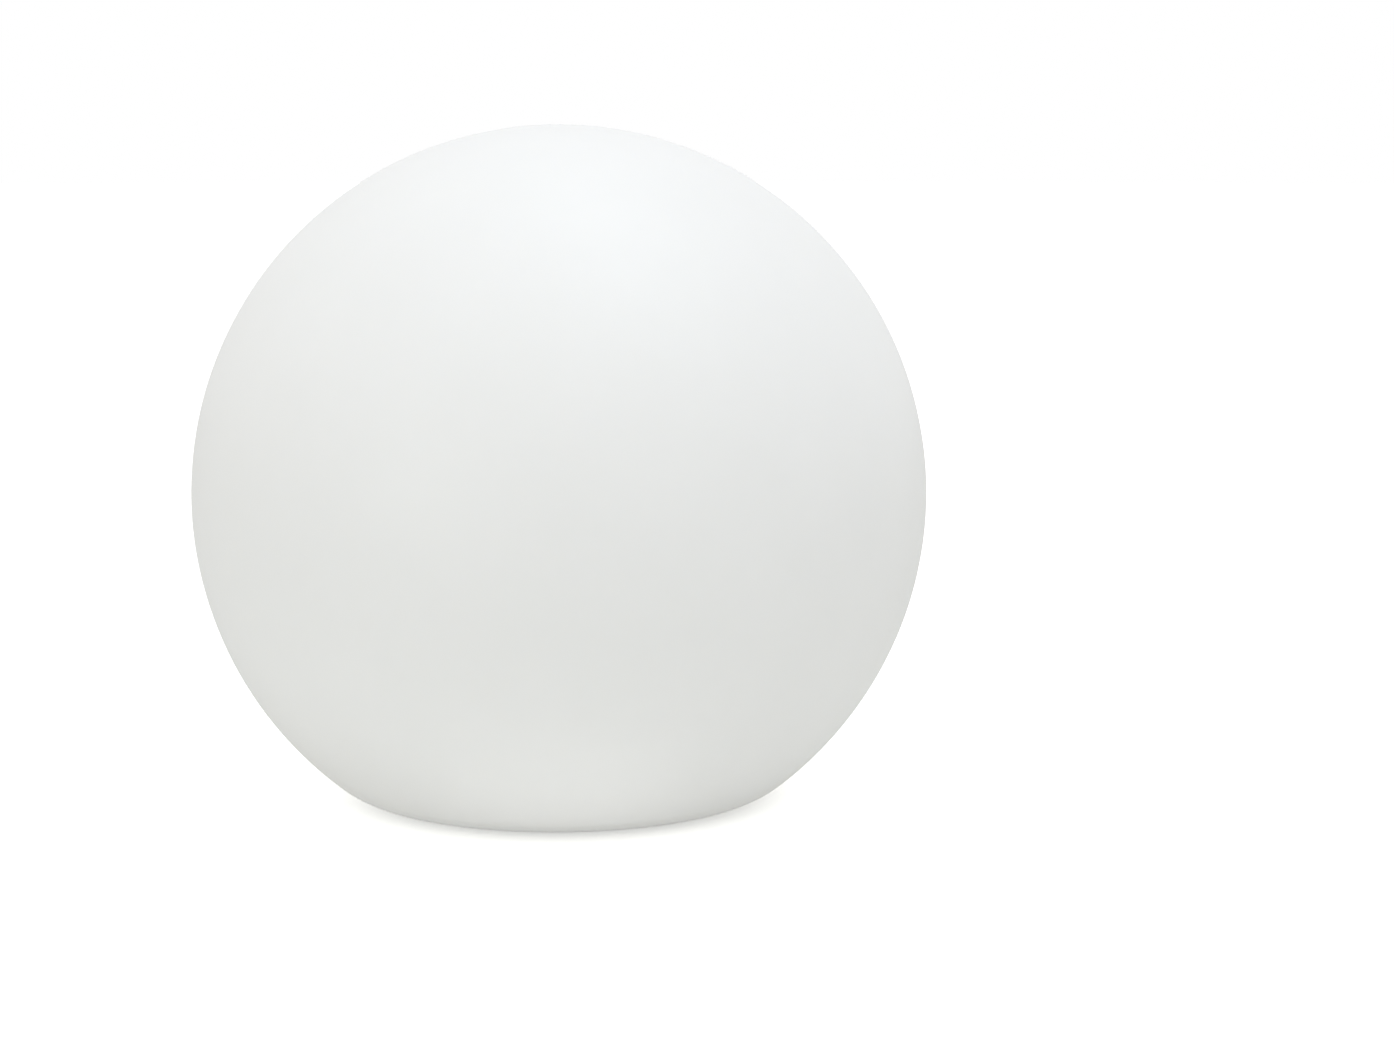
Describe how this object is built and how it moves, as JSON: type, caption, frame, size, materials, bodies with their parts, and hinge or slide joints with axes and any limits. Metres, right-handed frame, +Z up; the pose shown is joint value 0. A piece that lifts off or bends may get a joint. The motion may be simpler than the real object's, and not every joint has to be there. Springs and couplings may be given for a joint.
{
  "type": "floating pool light",
  "caption": "White globe light that floats on a pool or stands on a flat foot, with a sealed light module, push button and capped charging socket in its base.",
  "frame": {"origin": "middle of the flat foot, on the surface that the globe stands on", "axes": "+Z up along the globe's axis, from the foot to the crown; +X from the middle towards the charging socket, so the push button is at -X; +Y completes a right-handed set"},
  "size_m": [0.4, 0.3998, 0.368],
  "materials": {
    "shell_pe": "satin",
    "housing_plastic": "satin",
    "dark_plastic": "satin",
    "cap_plastic": "satin",
    "button_plastic": "satin",
    "silicone_grey": "matte",
    "seal_black": "matte",
    "stainless": "satin",
    "spring_steel": "gloss",
    "brass": "satin",
    "nickel": "satin",
    "board_green": "satin",
    "board_white": "satin",
    "package_black": "matte",
    "connector_white": "satin",
    "cell_metal": "satin",
    "sleeve_blue": "gloss",
    "foam": "matte",
    "wire_red": "satin",
    "wire_black": "satin",
    "wire_white": "satin",
    "reflector_white": "satin",
    "emitter_resin": "gloss",
    "lens_clear": "gloss",
    "dome_frosted": "matte"
  },
  "bodies": {
    "globe": {"globe_shell": "shell_pe", "threaded_inserts": "brass", "flange_gasket": "silicone_grey", "module_housing": "housing_plastic", "flange_screws": "stainless", "screw_seal_washers": "seal_black", "socket_gasket": "seal_black", "socket_body": "dark_plastic", "usb_shell": "nickel", "usb_tongue": "package_black", "socket_nut": "dark_plastic", "socket_board": "board_green", "charge_leads": "wire_red", "button_bezel": "cap_plastic", "button_spring": "spring_steel", "button_seal": "seal_black", "switch_body": "package_black", "status_lens": "lens_clear", "status_led": "connector_white", "control_board": "board_green", "board_screws": "stainless", "controller_chip": "package_black", "driver_transistors": "package_black", "power_inductor": "package_black", "filter_capacitors": "cell_metal", "battery_socket": "connector_white", "battery_plug": "connector_white", "harness_socket": "connector_white", "harness_plug": "connector_white", "battery_cells": "cell_metal", "battery_strips": "nickel", "protection_board": "board_green", "end_pad": "foam", "battery_sleeve": "sleeve_blue", "battery_tray": "dark_plastic", "battery_clamp": "stainless", "clamp_screws": "stainless", "battery_lead_red": "wire_red", "battery_lead_black": "wire_black", "led_carrier": "reflector_white", "led_board": "board_white", "led_board_screws": "stainless", "led_emitters": "reflector_white", "led_resin": "emitter_resin", "remote_receiver": "package_black", "led_harness": "wire_white", "light_dome": "dome_frosted", "dome_seal": "seal_black", "dome_screws": "stainless"},
    "power_button": {"power_button": "button_plastic", "button_clip": "stainless", "switch_plunger": "connector_white"},
    "cap_seal": {"cap_seal": "seal_black"},
    "charge_cap": {"charge_cap": "cap_plastic"}
  },
  "joints": [
    {"name": "power_button_press", "type": "slide", "parent": "globe", "child": "power_button", "axis": [0, 0, 1], "range_m": [0, 0.0015], "stiffness_N_per_m": 1000, "springref_m": -0.002, "deforming": ["button_spring"]},
    {"name": "charge_cap_rise", "type": "slide", "parent": "globe", "child": "cap_seal", "axis": [0, 0, -1], "range_m": [0, 0.008]},
    {"name": "charge_cap_turn", "type": "hinge", "parent": "cap_seal", "child": "charge_cap", "pos_m": [0.026, 0, 0.0072], "axis": [0, 0, -1], "range_deg": [0, 1440]}
  ],
  "couplings": [
    {"joint": "charge_cap_rise", "follows": "charge_cap_turn", "m_per_rad": 0.0003183}
  ]
}
